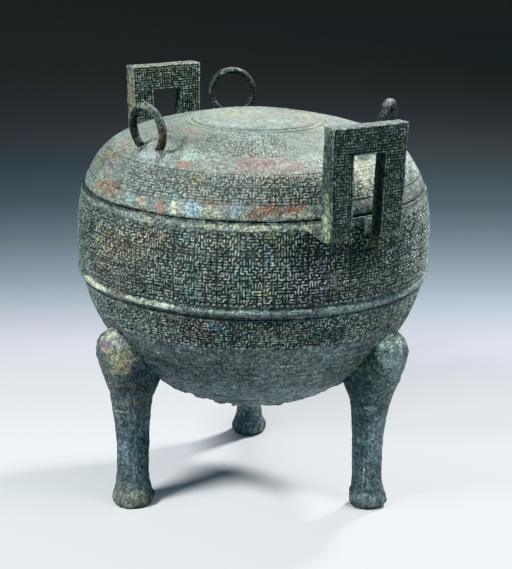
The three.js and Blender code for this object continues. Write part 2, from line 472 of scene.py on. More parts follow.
def lid_wear(place):
    """As body_wear, but the stamping is rubbed away outside its clear fields."""
    fill = ease(rough(place, 26.0, 4, 9.4), 0.2, 0.8) * 0.55
    field = min(math.hypot(place.x - x, place.y - y) for x, y in high_fields)
    faded = ease(place.z, 276.0, 284.0) * (0.15 + 0.85 * ease(field, 20.0, 42.0))
    below = min(math.hypot(place.x - x, place.y - y) for x, y in low_fields)
    faded = max(faded, 0.6 * ease(below, 48.0, 90.0))
    fill = max(fill, 0.8 * faded)
    low = 0.14 * lumps(place, 2.6, 2.0) + 0.2 * lumps(place, 13.0, 4.0)
    return fill, low


# ---------------------------------------------------------------- bowl

def plain_side(heights, lift=0.0):
    """Outline points of the bowl at the heights given."""
    return [(body_radius_at(z) + lift, z) for z in heights]


def sunk_bed(band, steps):
    """Outline points of the bed that a stamped register lies in."""
    return plain_side([lerp(band[0], band[1], i / steps) for i in range(steps + 1)], -bed_depth)


def bowstring(steps):
    """The raised half-round string that runs round the bowl."""
    points = []
    for i in range(steps + 1):
        side = math.cos(math.pi * (1 - i / steps))
        z = lerp(ridge_low_z, ridge_high_z, (side + 1) / 2)
        points.append((body_radius_at(z) + ridge_height * math.sqrt(max(0.0, 1 - side * side)), z))
    return points


def bowl_outline():
    """(radius, height) points up the outside, over the rim and down the inside."""
    points = []
    steps = 46
    last = math.acos((widest_z - lower_band[0] + 0.3) / lower_half)
    for i in range(steps + 1):
        angle = last * i / steps
        points.append((body_radius * math.sin(angle), widest_z - lower_half * math.cos(angle)))
    points += sunk_bed(lower_band, 7)
    points += plain_side((lower_band[1] + 0.3, groove_z - 0.6))
    points.append((body_radius_at(groove_z) - 0.8, groove_z))
    points += plain_side((groove_z + 0.6, groove_z + 1.2, ridge_low_z - 0.3))
    points += bowstring(9)
    points += plain_side((ridge_high_z + 0.3, upper_band[0] - 0.3))
    points += sunk_bed(upper_band, 14)
    points += plain_side((rim_band_z, rim_band_z + 1.5, rim_z - 3, rim_z - 1.5, rim_z - 0.5))
    points.append((body_radius_at(rim_z) - 0.9, rim_z))
    points += [(r, rim_z) for r in (127.5, 125.5, flange_outer + 0.6)]
    points += [(flange_outer, rim_z + 0.6), (flange_outer, flange_top_z - 0.6)]
    points += [(flange_outer - 0.6, flange_top_z), (flange_inner + 0.6, flange_top_z)]
    points += [(flange_inner, flange_top_z - 0.6), (flange_inner, rim_z - 4.0)]
    points.append((body_radius_at(rim_z - 14, body_wall), rim_z - 14))
    inner_half = lower_half - body_wall
    for i in range(28, -1, -1):
        angle = math.pi / 2 * i / 28
        points.append(((body_radius - body_wall) * math.sin(angle), widest_z - inner_half * math.cos(angle)))
    return points


def bowl_roughness(place):
    """How far the cast skin of the bowl stands out at a place: crusts low down, slight waves above."""
    low_down = 1 - ease(place.z, 84.0, 118.0)
    crust = ease(rough(place, 9.0, 4, 1.7), 0.05, 0.55)
    knobs = ease(lumps(place, 3.2, 8.0), 0.2, 0.7)
    waves = 0.25 * lumps(place, 22.0) + 0.12 * rough(place, 5.0, 3, 4.0)
    return waves + low_down * (1.5 * crust + 0.8 * knobs * crust)


def build_bowl(material):
    """The cast bowl with its rim, flange and inside."""
    bm = bmesh.new()
    turned(bm, bowl_outline(), bowl_columns)
    for vert in bm.verts:
        radius = math.hypot(vert.co.x, vert.co.y)
        wall = body_radius_at(vert.co.z)
        outside = vert.co.z < cast_skin_top_z and radius > wall - 0.5
        ridge = ridge_low_z - 0.5 < vert.co.z < rim_z - 0.2 and radius > wall - 1.0
        if outside or ridge:
            push = bowl_roughness(vert.co) * (1.0 if outside else 0.5)
            down = (widest_z - vert.co.z) / lower_half
            away = Vector((vert.co.x, vert.co.y, -body_radius * down)).normalized()
            vert.co += away * push
    finish_piece("vessel_bowl", bm, "vessel", material, 50)


# ---------------------------------------------------------------- legs

def leg_section_at(z):
    """Distance from the axis and the two half widths of a leg at a height, smoothly blended."""
    heights = [row[0] for row in leg_sections]
    i = int(clamp(bisect.bisect_right(heights, z) - 1, 0, len(heights) - 2))
    a, b, c, d = (leg_sections[int(clamp(k, 0, len(heights) - 1))] for k in (i - 1, i, i + 1, i + 2))
    t = (z - b[0]) / (c[0] - b[0])
    values = []
    for k in (1, 2, 3):
        rise_b = (c[k] - a[k]) / max(1e-6, c[0] - a[0]) * (c[0] - b[0])
        rise_c = (d[k] - b[k]) / max(1e-6, d[0] - b[0]) * (c[0] - b[0])
        values.append(
            (2 * t ** 3 - 3 * t ** 2 + 1) * b[k] + (t ** 3 - 2 * t ** 2 + t) * rise_b
            + (3 * t ** 2 - 2 * t ** 3) * c[k] + (t ** 3 - t ** 2) * rise_c
        )
    return values


def along_leg(traits, z):
    """Blends what is said of a leg's foot, shin and knee."""
    foot, shin, knee = traits
    return lerp(lerp(foot, shin, ease(z, 12.0, 26.0)), knee, ease(z, 70.0, 96.0))


def leg_shape_at(number, z):
    """As leg_section_at, for one leg with its own stance and fullness."""
    centre, outward, sideways = leg_section_at(z)
    full = along_leg(leg_fullness[number], z)
    return centre - along_leg(leg_inset[number], z), outward * full, sideways * full


def leg_outline():
    """Half width, as a share of the leg's, and height, from the sole up."""
    rows = [(0.0, 0.0), (0.6, 0.0), (0.93, 0.0)]
    top = leg_sections[-1][0]
    count = 92
    rows += [(1.0, 0.9 + (top - 0.9) * i / count) for i in range(count + 1)]
    rows.append((0.0, top + 0.6))
    return rows


def leg_roughness(place, number):
    """How far the cast skin of a leg stands out: most at the foot and the knee."""
    foot = 1 - ease(place.z, 10.0, 22.0)
    knee = ease(place.z, 95.0, 110.0)
    wave = 0.45 * lumps(place, 16.0, number * 3.0) + 0.25 * rough(place, 5.0, 4, number * 2.0)
    crust = ease(rough(place, 7.0, 4, 6.0 + number), 0.1, 0.6)
    return wave + crust * (0.35 + 0.7 * foot + 0.4 * knee)


def build_legs(material):
    """The three legs, each with its own stance. Their tops end in the thickness of the bowl's wall."""
    bm = bmesh.new()
    for number in range(leg_count):
        part = bmesh.new()
        turned(part, leg_outline(), leg_columns)
        for vert in part.verts:
            z = clamp(vert.co.z, 0.0, leg_sections[-1][0])
            centre, outward, sideways = leg_shape_at(number, z)
            vert.co.x = centre + vert.co.x * outward
            vert.co.y = vert.co.y * sideways
            inward = clamp((centre - vert.co.x) / outward)
            vert.co.x -= leg_web * inward * ease(z, leg_web_low_z, leg_web_high_z)
            if z > 0.4:
                away = Vector((vert.co.x - centre, vert.co.y, 0.0))
                if away.length > 0.1:
                    vert.co += away.normalized() * leg_roughness(vert.co, number)
            radius = math.hypot(vert.co.x, vert.co.y)
            mid_wall = body_radius_at(vert.co.z) - 0.5 * body_wall
            if vert.co.z > widest_z - lower_half + 2 and radius < mid_wall:
                vert.co.x *= mid_wall / radius
                vert.co.y *= mid_wall / radius
        swing(part, leg_bearing + 360.0 / leg_count * number, "Z")
        join(bm, part)
    finish_piece("vessel_legs", bm, "vessel", material, 60)


# ---------------------------------------------------------------- ears

def ear_raised():
    """Raised cells of one half of an ear: a plain frame round fields of hooked lines."""
    left, top = ear_window
    middle = ear_columns // 2
    nodes = []
    for c in range(2, middle, 2):
        for r in range(2, ear_rows - 2, 2):
            if c < left - 2 or r > top:
                nodes.append((c, r))
    raised = hooked_lines(nodes, 41)
    raised |= {(0, r) for r in range(ear_rows)}
    raised |= {(left - 1, r) for r in range(top + 1)}
    raised |= {(c, ear_rows - 1) for c in range(middle + 1)}
    raised |= {(c, top) for c in range(left - 1, middle + 1)}
    return raised | {(c, 0) for c in range(left)}


def ear_line_share(index, edges):
    """As line_share, but lines on an edge of the plate lie right on it."""
    cell = line_cell(index)
    if index % 3 == 0 and cell in edges:
        return float(cell)
    if index % 3 == 1 and cell + 1 in edges:
        return float(cell + 1)
    return line_share(index)


def ear_place(across, up, depth, lift):
    """A point of the ear on +X, from shares across and up, and depth from its outer face."""
    z = lerp(ear_low_z, ear_high_z, up)
    half = lerp(ear_half, ear_half_top, up)
    inner = ear_inner + ear_lean * clamp((z - ear_arm_top_z) / (ear_high_z - ear_arm_top_z))
    outer = inner + lerp(ear_thick, ear_thick_top, up)
    rise = z - ear_low_z
    if rise < ear_corner:
        outer -= ear_corner - math.sqrt(ear_corner ** 2 - (ear_corner - rise) ** 2)
    x = lerp(outer, inner, depth)
    x += lift if depth < 0.5 else -lift
    return Vector((x, (2 * across - 1) * half, z))


def ear_plate(raised):
    """A stamped frame with its window cut through, worn at the edges."""
    bm = bmesh.new()
    relief = bm.verts.layers.float.new("relief")
    left, top = ear_window
    right = ear_columns - left
    across = 3 * (ear_columns // 2) + 1
    upward = 3 * (ear_rows // 2) + 1
    bmesh.ops.create_grid(bm, x_segments=across, y_segments=upward, size=0.5)
    window = []
    for vert in bm.verts:
        i = round((vert.co.x + 0.5) * across)
        j = round((vert.co.y + 0.5) * upward)
        column, row = line_cell(i), line_cell(j)
        if left <= column < right and row < top:
            window.append(vert)
            continue
        mirrored = min(column, ear_columns - 1 - column)
        vert[relief] = 1.0 if (mirrored, row) in raised else 0.0
        vert.co.x = ear_line_share(i, (0, left, right, ear_columns)) / ear_columns
        vert.co.y = ear_line_share(j, (0, top, ear_rows)) / ear_rows
    bmesh.ops.delete(bm, geom=window, context="VERTS")
    made = bmesh.ops.extrude_face_region(bm, geom=bm.faces[:])["geom"]
    for vert in made:
        if isinstance(vert, bmesh.types.BMVert):
            vert.co.z = 1.0
    through = [e for e in bm.edges if abs(e.verts[0].co.z - e.verts[1].co.z) > 0.5]
    bmesh.ops.subdivide_edges(bm, edges=through, cuts=6, use_grid_fill=True)
    for vert in bm.verts:
        on_face = vert.co.z < 0.01 or vert.co.z > 0.99
        across_share, up_share, depth = vert.co
        plain = ear_place(across_share, up_share, depth, 0.0)
        if not on_face:
            vert[relief] = side_relief
            side = Vector((0.0, math.copysign(1.0, plain.y), 0.0))
            vert.co = plain + side * 0.35 * rough(plain, 4.0, 3, 2.0)
            continue
        fill = ease(rough(plain, 12.0, 3, 5.5), 0.3, 0.9) * 0.6
        height = lerp(vert[relief], 0.75, fill) - 0.1 * lumps(plain, 3.0, 6.0)
        vert[relief] = clamp(height)
        vert.co = ear_place(across_share, up_share, depth, -0.75 + 0.75 * height)
    return bm


def ear_arm(side):
    """The short arm that ties one bar of an ear to the bowl."""
    bm = bmesh.new()
    window_half = ear_half * (1 - 2 * ear_window[0] / ear_columns)
    size = (ear_inner + 2.0 - ear_arm_end, ear_half - window_half - 0.3, ear_arm_top_z - ear_low_z - 0.6)
    bmesh.ops.create_cube(bm, size=1.0)
    bmesh.ops.scale(bm, vec=size, verts=bm.verts[:])
    bmesh.ops.bevel(bm, geom=bm.edges[:], offset=1.2, segments=3, profile=0.5, affect="EDGES", material=-1)
    middle_y = side * (ear_half + window_half) / 2
    move(bm, (ear_arm_end + size[0] / 2, middle_y, (ear_arm_top_z + ear_low_z) / 2))
    relief = bm.verts.layers.float.new("relief")
    for vert in bm.verts:
        vert[relief] = side_relief
    return bm


def build_ears(material):
    """Both ears with their arms, a little warped."""
    bm = bmesh.new()
    bm.verts.layers.float.new("relief")
    raised = ear_raised()
    for number in range(2):
        for part in (ear_plate(raised), ear_arm(-1), ear_arm(1)):
            swing(part, 180.0 * number, "Z")
            join(bm, part)
    for vert in bm.verts:
        vert.co.y += 0.6 * lumps(vert.co, 24.0, 3.0) + 0.25 * lumps(vert.co, 7.0, 4.0)
        vert.co.z += 0.4 * lumps(vert.co, 20.0, 8.0) * ease(vert.co.z, rim_z, rim_z + 20)
    finish_piece("vessel_ears", bm, "vessel", material)


# ---------------------------------------------------------------- lid

def bed_on_dome(band, steps):
    """As sunk_bed, for a register of the lid."""
    return [dome_point(lerp(band[0], band[1], i / steps), -bed_depth) for i in range(steps + 1)]


def lid_outline():
    """(radius, height) points from the middle of the disc over the dome and back inside."""
    points = [(0.0, dome_top_z)]
    for distance in (3, 6, 9, 12, 14, 15, 16, 19, 22, 25, 28, 29, 30, 31, 34, 37, 40, 41, 42, 43, 44.4):
        points.append(dome_point(distance, -0.45 if distance in disc_grooves else 0.0))
    for past_edge, lift in ((-2.8, 0.5), (-0.6, 0.6), (0.2, -0.5), (1.4, -0.55), (2.2, 0.0), (4.7, 0.0)):
        points.append(dome_point(disc_edge + past_edge, lift))
    points += bed_on_dome(lid_upper_band, 12)
    middle = (lid_upper_band[1] + lid_lower_band[0]) / 2
    for i in range(9):
        distance = lerp(lid_upper_band[1] + 0.3, lid_lower_band[0] - 0.3, i / 8)
        points.append(dome_point(distance, -0.4 if abs(distance - middle) < 0.2 else 0.0))
    points += bed_on_dome(lid_lower_band, 9)
    for i in range(7):
        points.append(dome_point(lerp(lid_lower_band[1] + 0.3, dome_length - 0.8, i / 6)))
    points.append((dome_edge[0] - 0.2, dome_edge[1] + 0.4))
    points.append((dome_edge[0] - 0.9, dome_edge[1]))
    points.append((dome_edge[0] - 4.0, dome_edge[1]))
    points.append((dome_edge[0] - 4.0, dome_edge[1] + 2.0))
    for i in range(24):
        points.append(dome_point(lerp(dome_length - 12, 8.0, i / 23), -lid_wall))
    points.append((0.0, dome_top_z - lid_wall))
    return points


def seat_on_lid(bm, bearing):
    """Moves a ring made about the origin, foot down, to its seat on the lid."""
    seat_z = dome_point(ring_seat + 1.6)[1]
    swing(bm, ring_lean, "Y")
    move(bm, (ring_seat, 0.0, seat_z))
    swing(bm, bearing, "Z")


def ring_wire_mesh(number):
    """A worn wire hoop that stops short of the lid at both ends."""
    bm = bmesh.new()
    section = bmesh.ops.create_circle(bm, cap_ends=True, segments=20, radius=1.0)["verts"]
    bmesh.ops.scale(bm, vec=(ring_wire[1], ring_wire[0], 1.0), verts=section)
    start = math.radians(ring_open)
    swing(bm, -ring_open, "X")
    move(bm, (0.0, ring_middle * math.sin(start), ring_lift - ring_middle * math.cos(start)))
    bmesh.ops.spin(
        bm, geom=bm.faces[:] + bm.edges[:] + bm.verts[:], cent=(0, 0, ring_lift), axis=(1, 0, 0),
        angle=full_turn - 2 * start, steps=72,
    )
    for vert in bm.verts:
        centre = Vector((0.0, vert.co.y, vert.co.z - ring_lift)).normalized() * ring_middle
        away = vert.co - Vector((0.0, centre.y, centre.z + ring_lift))
        swell = 0.10 * lumps(vert.co, 6.0, number * 4.0) + 0.05 * lumps(vert.co, 2.5, number)
        vert.co += away * swell
    return bm


def ring_foot_mesh(side):
    """The flared foot that one end of a ring stands on."""
    bm = bmesh.new()
    turned(bm, ring_foot_outline, 24)
    move(bm, (0.0, side * ring_foot_spread, 0.0))
    for vert in bm.verts:
        vert.co.x += 0.3 * lumps(vert.co, 3.0, side)
    return bm


def build_lid(material):
    """The domed shell of the lid, hollow under its disc and beds."""
    bm = bmesh.new()
    turned(bm, lid_outline(), lid_columns)
    for vert in bm.verts:
        radius = math.hypot(vert.co.x, vert.co.y)
        if vert.co.z > dome_edge[1] + 0.5 and radius > 1.0:
            push = 0.22 * lumps(vert.co, 20.0, 3.0) + 0.12 * rough(vert.co, 5.0, 3, 2.0)
            vert.co.z += push * ease(vert.co.z, dome_edge[1], dome_edge[1] + 12)
    finish_piece("lid_shell", bm, "lid", material, 50)


def build_rings(material):
    """The three ring handles, cast with the lid."""
    bm = bmesh.new()
    for number in range(ring_count):
        bearing = ring_bearing + 360.0 / ring_count * number
        for part in (ring_wire_mesh(number), ring_foot_mesh(-1), ring_foot_mesh(1)):
            seat_on_lid(part, bearing)
            join(bm, part)
    finish_piece("lid_rings", bm, "lid", material, 50)


# ---------------------------------------------------------------- material helpers

def tone(red, green, blue):
    """A colour given as it looks on a screen, turned into light."""
    def light(value):
        value /= 255
        return value / 12.92 if value <= 0.04045 else ((value + 0.055) / 1.055) ** 2.4
    return light(red), light(green), light(blue), 1.0


def shade(red, green, blue):
    """How much a colour is dimmed or raised, channel by channel."""
    return red, green, blue, 1.0


def add(tree, kind, **settings):
    """Adds a shader node with the settings given."""
    node = tree.nodes.new(kind)
    for name, value in settings.items():
        setattr(node, name, value)
    return node


def feed(tree, socket, value):
    """Links a socket to another node's output, or gives it a plain value."""
    if isinstance(value, bpy.types.NodeSocket):
        tree.links.new(value, socket)
    else:
        socket.default_value = value


def arithmetic(tree, operation, a, b=0.0, clamped=False):
    node = add(tree, "ShaderNodeMath", operation=operation, use_clamp=clamped)
    feed(tree, node.inputs[0], a)
    feed(tree, node.inputs[1], b)
    return node.outputs[0]


def times(tree, a, b):
    return arithmetic(tree, "MULTIPLY", a, b)


def blend(tree, share, a, b, mode="MIX"):
    """Lays colour b over colour a by a share."""
    node = add(tree, "ShaderNodeMix", data_type="RGBA", blend_type=mode)
    feed(tree, node.inputs[0], share)
    feed(tree, node.inputs[6], a)
    feed(tree, node.inputs[7], b)
    return node.outputs[2]


def span(tree, value, low, high, to_low=0.0, to_high=1.0):
    """Eases a value from one range to another."""
    node = add(tree, "ShaderNodeMapRange", interpolation_type="SMOOTHSTEP")
    for name, number in (("From Min", low), ("From Max", high), ("To Min", to_low), ("To Max", to_high)):
        feed(tree, node.inputs[name], number)
    feed(tree, node.inputs["Value"], value)
    return node.outputs["Result"]


def mottle(tree, place, size, detail=4.0, roughness=0.6, shift=0.0):
    """Noise with its broadest lumps of the size given in millimetres."""
    node = add(tree, "ShaderNodeTexNoise", noise_dimensions="4D")
    feed(tree, node.inputs["Vector"], place)
    node.inputs["W"].default_value = shift
    node.inputs["Scale"].default_value = 1000.0 / size
    node.inputs["Detail"].default_value = detail
    node.inputs["Roughness"].default_value = roughness
    return node.outputs["Fac"]


def object_place(tree):
    return add(tree, "ShaderNodeTexCoord").outputs["Object"]


def new_group(name, inputs, output, kind="Color"):
    """A shader group with named inputs of the kinds given, and the one thing that it puts out."""
    group = bpy.data.node_groups.new(name, "ShaderNodeTree")
    for label, input_kind in inputs.items():
        group.interface.new_socket(label, in_out="INPUT", socket_type="NodeSocket" + input_kind)
    group.interface.new_socket(output, in_out="OUTPUT", socket_type="NodeSocket" + kind)
    given = add(group, "NodeGroupInput").outputs
    return group, given, add(group, "NodeGroupOutput").inputs[output]


def use_group(tree, group, **values):
    node = add(tree, "ShaderNodeGroup", node_tree=group)
    for name, value in values.items():
        feed(tree, node.inputs[name], value)
    return node.outputs[0]


# ---------------------------------------------------------------- shared effects

tinting = {"Color": "Color", "Strength": "Float"}  # sockets of an effect that tints a colour


def patina_group():
    """Three tones laid over each other in clouds, blotches, grains and pits."""
    sockets = {"Ground": "Color", "Pale": "Color", "Deep": "Color", "Grain": "Float"}
    group, given, out = new_group("patina", sockets, "Color")
    place = object_place(group)
    clouds = span(group, mottle(group, place, 42.0, 5.0, 0.68, 1.0), 0.42, 0.66, 0.0, 0.5)
    blotches = span(group, mottle(group, place, 13.0, 6.0, 0.75, 4.0), 0.5, 0.66, 0.0, 0.6)
    flakes = span(group, mottle(group, place, 4.2, 3.0, 0.75, 7.0), 0.54, 0.66, 0.0, 0.75)
    pits = span(group, mottle(group, place, 2.6, 3.0, 0.75, 9.0), 0.53, 0.64, 0.0, 0.85)
    grains = span(group, mottle(group, place, 1.5, 2.0, 0.7, 15.0), 0.56, 0.68)
    colour = blend(group, clouds, given["Ground"], given["Pale"])
    colour = blend(group, blotches, colour, given["Deep"])
    for mask, tint in ((flakes, "Pale"), (pits, "Deep"), (grains, "Pale")):
        colour = blend(group, times(group, mask, given["Grain"]), colour, given[tint])
    feed(group, out, colour)
    return group


def drift_group():
    """Lets a colour drift towards teal, olive and rust in wide clouds with torn edges."""
    group, given, out = new_group("drift", tinting, "Color")
    place = object_place(group)
    colour = given["Color"]
    for shift, low, tint in (
        (21.0, 0.54, shade(0.74, 1.06, 1.12)),
        (22.0, 0.54, shade(1.20, 1.14, 0.80)),
        (23.0, 0.60, shade(1.28, 0.94, 0.84)),
        (24.0, 0.58, shade(1.04, 0.95, 1.10)),
    ):
        cloud = span(group, mottle(group, place, 30.0, 7.0, 0.7, shift), low, low + 0.1)
        cloud = times(group, cloud, given["Strength"])
        colour = blend(group, cloud, colour, tint, "MULTIPLY")
    feed(group, out, colour)
    return group


def streaks_group():
    """Streaks drawn out along the axes that Stretch makes long."""
    sockets = {"Color": "Color", "Stretch": "Vector", "Strength": "Float"}
    group, given, out = new_group("streaks", sockets, "Color")
    drawn = add(group, "ShaderNodeVectorMath", operation="DIVIDE")
    feed(group, drawn.inputs[0], object_place(group))
    feed(group, drawn.inputs[1], given["Stretch"])
    pale = span(group, mottle(group, drawn.outputs["Vector"], 3.0, 5.0, 0.7, 17.0), 0.5, 0.66)
    dark = span(group, mottle(group, drawn.outputs["Vector"], 4.0, 5.0, 0.7, 18.0), 0.52, 0.68)
    colour = given["Color"]
    for mask, tint in ((pale, shade(1.9, 1.95, 1.95)), (dark, shade(0.45, 0.48, 0.5))):
        colour = blend(group, times(group, mask, given["Strength"]), colour, tint, "MULTIPLY")
    feed(group, out, colour)
    return group


def salt_group():
    """Fine light and dark grains, as on any long-buried bronze."""
    group, given, out = new_group("salt", tinting, "Color")
    place = object_place(group)
    colour = given["Color"]
    for size, shift, low, high in ((1.25, 41.0, 0.30, 2.1), (2.6, 43.0, 0.45, 1.65)):
        level = span(group, mottle(group, place, size, 1.0, 0.6, shift), 0.34, 0.66, low, high)
        level = blend(group, given["Strength"], shade(1.0, 1.0, 1.0), level)
        colour = blend(group, 1.0, colour, level, "MULTIPLY")
    feed(group, out, colour)
    return group


def speck_group():
    """Scatters small dots of mineral colour: azurite, malachite, ochre and cuprite."""
    group, given, out = new_group("mineral specks", tinting, "Color")
    place = object_place(group)
    cells = add(group, "ShaderNodeTexVoronoi")
    feed(group, cells.inputs["Vector"], place)
    cells.inputs["Scale"].default_value = 420.0
    pick = add(group, "ShaderNodeSeparateColor")
    feed(group, pick.inputs[0], cells.outputs["Color"])
    ramp = add(group, "ShaderNodeValToRGB")
    ramp.color_ramp.interpolation = "CONSTANT"
    feed(group, ramp.inputs["Fac"], pick.outputs[0])
    dots = [
        (0.0, tone(150, 88, 66)),
        (0.07, tone(120, 150, 168)),
        (0.13, tone(196, 196, 150)),
        (0.19, tone(120, 168, 150)),
        (0.26, (0.0, 0.0, 0.0, 0.0)),
    ]
    set_stops(ramp, dots)
    dot = times(group, span(group, cells.outputs["Distance"], 0.55, 0.3), ramp.outputs["Alpha"])
    dot = times(group, dot, given["Strength"])
    feed(group, out, blend(group, dot, given["Color"], ramp.outputs["Color"]))
    return group


def set_stops(ramp, stops):
    """Gives a colour ramp its stops, as (position, colour) pairs."""
    elements = ramp.color_ramp.elements
    while len(elements) < len(stops):
        elements.new(0.5)
    for element, (position, colour) in zip(elements, stops):
        element.position = position
        element.color = colour


def patch_group():
    """A torn patch: Centre and Turn say where and which way, Reach how far each way it goes."""
    sockets = {"Centre": "Vector", "Turn": "Vector", "Reach": "Vector", "Torn": "Float"}
    group, given, out = new_group("patch", sockets, "Mask", "Float")
    spread = add(group, "ShaderNodeMapping", vector_type="TEXTURE")
    feed(group, spread.inputs["Vector"], object_place(group))
    for socket, value in (("Location", "Centre"), ("Rotation", "Turn"), ("Scale", "Reach")):
        feed(group, spread.inputs[socket], given[value])
    away = add(group, "ShaderNodeVectorMath", operation="LENGTH")
    feed(group, away.inputs[0], spread.outputs["Vector"])
    edge = arithmetic(group, "ADD", away.outputs["Value"], given["Torn"])
    feed(group, out, span(group, edge, 1.2, 0.75))
    return group


def grain_group():
    """Height of the corroded skin: grit, pits, flakes and soft swellings."""
    group, given, out = new_group("corroded grain", {"Strength": "Float"}, "Height", "Float")
    place = object_place(group)
    height = times(group, mottle(group, place, 1.2, 3.0, 0.7, 2.0), 0.45)
    for size, low, high, weight, shift in (
        (3.2, 0.6, 0.42, 0.5, 5.0),
        (6.5, 0.44, 0.6, 0.45, 31.0),
        (16.0, 0.4, 0.62, 0.5, 8.0),
    ):
        part = span(group, mottle(group, place, size, 4.0, 0.7, shift), low, high, 0.0, weight)
        height = arithmetic(group, "ADD", height, part)
    feed(group, out, times(group, height, given["Strength"]))
    return group


def stamped_tone_group():
    """Dims the grooves and raises the tops of stamped lines."""
    sockets = {"Color": "Color", "Groove": "Color", "Top": "Color"}
    group, given, out = new_group("stamped tone", sockets, "Color")
    relief = add(group, "ShaderNodeAttribute", attribute_name="relief").outputs["Fac"]
    place = object_place(group)
    uneven = span(group, mottle(group, place, 7.0, 4.0, 0.7, 6.0), 0.38, 0.62, 0.1, 1.0)
    low = span(group, relief, 0.62, 0.2, 0.0, 0.95)
    high = times(group, span(group, relief, 0.74, 0.97), uneven)
    colour = blend(group, low, given["Color"], given["Groove"], "MULTIPLY")
    colour = blend(group, high, colour, given["Top"], "MULTIPLY")
    feed(group, out, colour)
    return group


patina = patina_group()
drift = drift_group()
streaks = streaks_group()
salt = salt_group()
speck = speck_group()
patch = patch_group()
grain = grain_group()
stamped_tone = stamped_tone_group()


def bronze(
    name, tones, stains_and_painted_light=(), crown=None, stamped=None, stretch=(1.0, 1.0, 1.0),
    grit=0.9, hues=0.6, dots=0.15, drawn=0.0, grains=0.7,
):
    """A corroded bronze finish.

    tones are its ground, pale and deep colours, and crown the same three for the top of the lid.
    stains_and_painted_light are (centre, bearing, reach, strength, colour) of stains and of painted
    highlights and shade, and stamped the shades of groove and top.
    stretch and drawn say which way its streaks run and how strong they are. grit, hues, dots and grains
    are the strengths of its pits, its drifting tints, its mineral specks and its fine grains.
    """
    material = bpy.data.materials.new(name)
    material.use_nodes = True
    tree = material.node_tree
    tree.nodes.clear()
    place = object_place(tree)
    torn = arithmetic(tree, "SUBTRACT", mottle(tree, place, 8.0, 8.0, 0.8, 3.0), 0.5)
    torn = times(tree, torn, 4.5)
    thin = span(tree, mottle(tree, place, 3.5, 4.0, 0.75, 13.0), 0.4, 0.62, 0.35, 1.0)
    colour = use_group(tree, patina, Ground=tones[0], Pale=tones[1], Deep=tones[2], Grain=grit)
    salted = grains
    if crown:
        top = use_group(tree, patina, Ground=crown[0], Pale=crown[1], Deep=crown[2], Grain=grit)
        height = add(tree, "ShaderNodeSeparateXYZ")
        feed(tree, height.inputs[0], place)
        torn_height = arithmetic(tree, "ADD", height.outputs["Z"], times(tree, torn, 4.0 * mm))
        colour = blend(tree, span(tree, torn_height, crown_low_z * mm, crown_high_z * mm), colour, top)
        salted = span(tree, height.outputs["Z"], crown_low_z * mm, crown_high_z * mm, grains, 0.4 * grains)
    colour = use_group(tree, drift, Color=colour, Strength=hues)
    colour = use_group(tree, speck, Color=colour, Strength=dots)
    # stains, painted highlights and painted shade laid over the colour
    for centre, bearing, reach, strength, stain_or_painted_light in stains_and_painted_light:
        turn = (0.0, 0.0, math.radians(bearing))
        mask = use_group(tree, patch, Centre=centre, Turn=turn, Reach=reach, Torn=torn)
        mask = times(tree, times(tree, mask, strength), thin)
        colour = blend(tree, mask, colour, stain_or_painted_light)
    if drawn:
        colour = use_group(tree, streaks, Color=colour, Stretch=stretch, Strength=drawn)
    colour = use_group(tree, salt, Color=colour, Strength=salted)
    if stamped:
        colour = use_group(tree, stamped_tone, Color=colour, Groove=stamped[0], Top=stamped[1])
    relief = add(tree, "ShaderNodeBump")
    relief.inputs["Strength"].default_value = 0.9
    relief.inputs["Distance"].default_value = 0.8 * mm
    feed(tree, relief.inputs["Height"], use_group(tree, grain, Strength=1.0))
    skin = add(tree, "ShaderNodeBsdfPrincipled")
    feed(tree, skin.inputs["Base Color"], colour)
    gloss = mottle(tree, place, 5.0, 4.0, 0.65, 11.0)
    feed(tree, skin.inputs["Roughness"], span(tree, gloss, 0.35, 0.65, 0.46, 0.76))
    skin.inputs["Metallic"].default_value = 0.1
    skin.inputs["Specular IOR Level"].default_value = 0.5
    feed(tree, skin.inputs["Normal"], relief.outputs["Normal"])
    out = add(tree, "ShaderNodeOutputMaterial")
    tree.links.new(skin.outputs["BSDF"], out.inputs["Surface"])
    return material


# ---------------------------------------------------------------- tones

slate = tone(82, 88, 85)
slate_pale = tone(118, 129, 123)
slate_deep = tone(44, 52, 51)
steel = tone(62, 70, 71)
steel_pale = tone(110, 124, 124)
steel_deep = tone(32, 39, 41)
verdigris = tone(108, 116, 109)
verdigris_pale = tone(146, 155, 146)
verdigris_deep = tone(70, 79, 73)
lid_low = tone(117, 123, 116)
# a dark tone for the rings, also used for painted shade in grooves and seams
soot_and_painted_shade = tone(34, 39, 37)
brick = tone(132, 84, 72)
rust = tone(142, 108, 82)
rose = tone(126, 98, 91)
azurite = tone(76, 104, 120)
teal = tone(92, 130, 128)
mint = tone(160, 190, 172)
cream = tone(190, 192, 164)
straw = tone(160, 158, 124)
olive = tone(112, 114, 82)
violet = tone(120, 118, 130)

# ---------------------------------------------------------------- where the stains, painted highlights and painted shade lie

wide = 9.0  # metres, for a mark that has no end that way


def body_stain_and_painted_light(bearing, z, along, up, strength, stain_or_painted_light):
    """A stain, painted highlight or painted shade on the bowl's side, with its half length and half height
    in millimetres.
    """
    centre = polar(math.radians(bearing), body_radius_at(z), z) * mm
    return tuple(centre), bearing, (60 * mm, along * mm, up * mm), strength, stain_or_painted_light


def lid_stain_and_painted_light(bearing, distance, along, down, strength, stain_or_painted_light):
    """A stain or painted highlight on the lid, with its half length and how far it runs down the dome."""
    r, z = dome_point(distance)
    steep = distance > lid_lower_band[0]
    reach = (30 * mm, along * mm, down * mm) if steep else (down * mm, along * mm, 30 * mm)
    return tuple(polar(math.radians(bearing), r, z) * mm), bearing, reach, strength, stain_or_painted_light


def rim_stain(bearing, rise, along, up, strength, stain_or_painted_light):
    """A stain on the plain rim of the lid."""
    centre = polar(math.radians(bearing), dome_edge[0] - 2, dome_edge[1] + rise) * mm
    return tuple(centre), bearing, (30 * mm, along * mm, up * mm), strength, stain_or_painted_light


